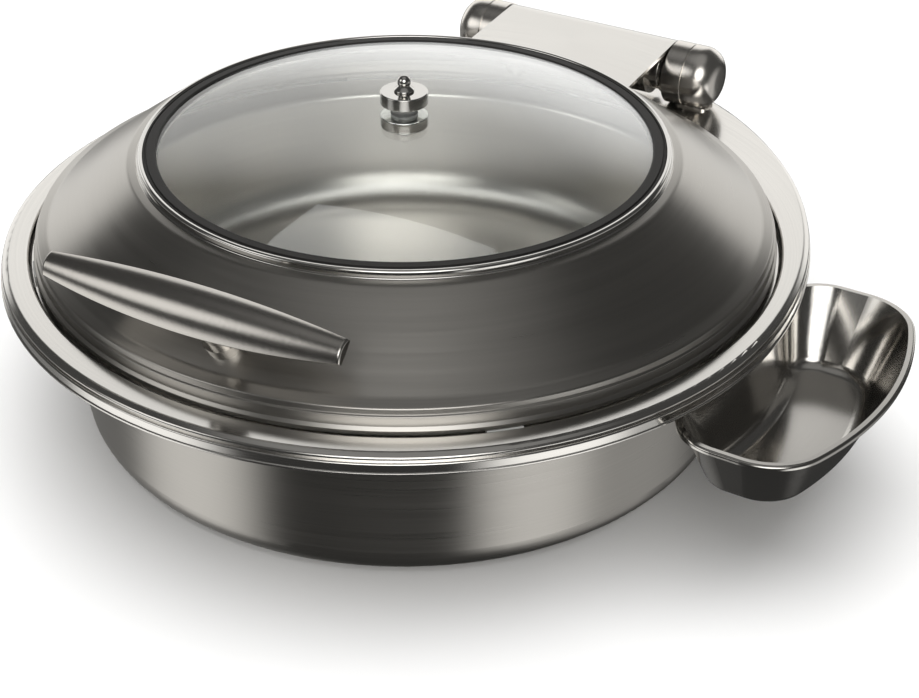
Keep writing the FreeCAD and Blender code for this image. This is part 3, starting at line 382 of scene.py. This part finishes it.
def make_turned():
    """The dome, the ring around the window, the pan, and the hinge's two round caps."""
    lathe("lid_dome", "lid", "lid_steel", strip(DOME_PATH, -DOME_SHEET))
    under = shifted(DOME_PATH, -DOME_SHEET)[0][:2]
    lathe("window_ring", "lid", NODE_SLOTS["window_ring"],
          [(127.5, 141.2, 0.4), (127.5, 142.4, 0.4), (135.1, 142.4, 0.0), (135.1, 150.0, 1.1),
           (137.8, 150.0, 1.3), (137.8, 145.3, 0.6), (139.2, 145.9, 0.0), (*under, 0.0),
           (136.8, under[1], 0.0), (136.8, 141.2, 0.4)])
    lathe("food_pan", "base", "pan_steel", strip(PAN_PATH, SHEET))
    for side, way in (("left", -1.0), ("right", 1.0)):
        along_hinge = Matrix(((0, 0, way, 0), (1, 0, 0, HINGE_Y * MM), (0, 1, 0, HINGE_Z * MM), (0, 0, 0, 1)))
        lathe("hinge_cap_" + side, "base", NODE_SLOTS["hinge_cap_" + side], CAP_PATH, along_hinge)


# ---------------------------------------------------------------- stage
def make_floor():
    """A large pale floor that the metal doesn't mirror."""
    half = FLOOR_HALF
    mesh = bpy.data.meshes.new("floor")
    corners = [(-half, -half, 0), (half, -half, 0), (half, half, 0), (-half, half, 0)]
    mesh.from_pydata(corners, [], [(0, 1, 2, 3)])
    floor = bpy.data.objects.new("floor", mesh)
    bpy.context.scene.collection.objects.link(floor)
    material, tree, shader = new_tree("floor_paper")
    place = add(tree, "ShaderNodeTexCoord").outputs["Object"]
    cloud = add(tree, "ShaderNodeTexNoise", None, Vector=place, Scale=2.0, Detail=1.0)
    tone = spread(tree, cloud.outputs["Fac"], 0.9, 0.93)
    shade = add(tree, "ShaderNodeCombineXYZ", None, X=tone, Y=tone, Z=tone)
    tree.links.new(shade.outputs[0], shader.inputs["Base Color"])
    shader.inputs["Roughness"].default_value = 0.9
    shader.inputs["Specular IOR Level"].default_value = 0.1
    mesh.materials.append(material)
    floor.visible_glossy = False


def polar_place(azimuth, elevation, distance):
    """A point seen from the object's middle; azimuth as the camera's, in degrees."""
    a = math.radians(azimuth)
    e = math.radians(elevation)
    return Vector((math.sin(a) * math.cos(e), -math.cos(a) * math.cos(e), math.sin(e))) * distance


def glow(tree, way, azimuth, elevation, inner, outer, strength):
    """A soft round patch of light in the studio dome; its edge fades between two angles, in degrees."""
    toward = tuple(polar_place(azimuth, elevation, 1.0))
    near = add(tree, "ShaderNodeVectorMath", {"operation": "DOT_PRODUCT"}, at_0=way, at_1=toward)
    return add(tree, "ShaderNodeMapRange", {"interpolation_type": "SMOOTHSTEP"}, Value=near.outputs["Value"],
               From_Min=math.cos(math.radians(outer)), From_Max=math.cos(math.radians(inner)),
               To_Max=strength).outputs["Result"]


def make_world():
    """A grey studio dome with soft patches of light, which the steel mirrors."""
    world = bpy.data.worlds.new("studio")
    world.use_nodes = True
    tree = world.node_tree
    way = add(tree, "ShaderNodeTexCoord").outputs["Generated"]
    height = add(tree, "ShaderNodeSeparateXYZ", None, Vector=way).outputs["Z"]
    total = add(tree, "ShaderNodeMapRange", {"interpolation_type": "SMOOTHSTEP"}, Value=height,
                From_Min=STUDIO_HORIZON[0], From_Max=STUDIO_HORIZON[1], To_Min=STUDIO_FLOOR,
                To_Max=STUDIO_WALL).outputs["Result"]
    for patch in STUDIO_PATCHES:
        light = glow(tree, way, *patch)
        total = add(tree, "ShaderNodeMath", {"operation": "MAXIMUM"}, at_0=total, at_1=light).outputs[0]
    tint = add(tree, "ShaderNodeVectorMath", {"operation": "SCALE"}, at_0=(1.0, 0.99, 0.965), Scale=total)
    tree.links.new(tint.outputs[0], tree.nodes["Background"].inputs["Color"])
    bpy.context.scene.world = world


def make_fill():
    """A soft overhead light for the floor and the matte parts, which the metal doesn't mirror."""
    data = bpy.data.lights.new("fill_top", "AREA")
    data.shape = "RECTANGLE"
    data.size = FILL_SIZE
    data.size_y = FILL_SIZE
    data.energy = FILL_POWER
    lamp = bpy.data.objects.new("fill_top", data)
    bpy.context.scene.collection.objects.link(lamp)
    target = Vector((0.0, 0.0, FILL_TARGET))
    lamp.location = target + polar_place(0.0, FILL_ELEVATION, FILL_DISTANCE)
    lamp.rotation_mode = "QUATERNION"
    lamp.rotation_quaternion = (target - lamp.location).to_track_quat("-Z", "Y")
    lamp.visible_glossy = False
    lamp.visible_camera = False


def make_camera():
    """The photograph's point of view."""
    data = bpy.data.cameras.new("camera")
    data.sensor_width = 36.0
    data.lens = CAMERA_LENS
    data.shift_x = CAMERA_SHIFT
    camera = bpy.data.objects.new("camera", data)
    bpy.context.scene.collection.objects.link(camera)
    a = math.radians(CAMERA_AZIMUTH)
    place = (math.sin(a) * CAMERA_DISTANCE, -math.cos(a) * CAMERA_DISTANCE, CAMERA_HEIGHT)
    turn = Matrix.Rotation(a, 4, "Z") @ Matrix.Rotation(math.radians(90.0 - CAMERA_PITCH), 4, "X")
    roll = Matrix.Rotation(math.radians(CAMERA_ROLL), 4, "Z")
    camera.matrix_world = Matrix.Translation(place) @ turn @ roll
    bpy.context.scene.camera = camera


make_turned()
make_floor()
make_world()
make_fill()
make_camera()
bpy.context.scene.view_settings.view_transform = "Standard"
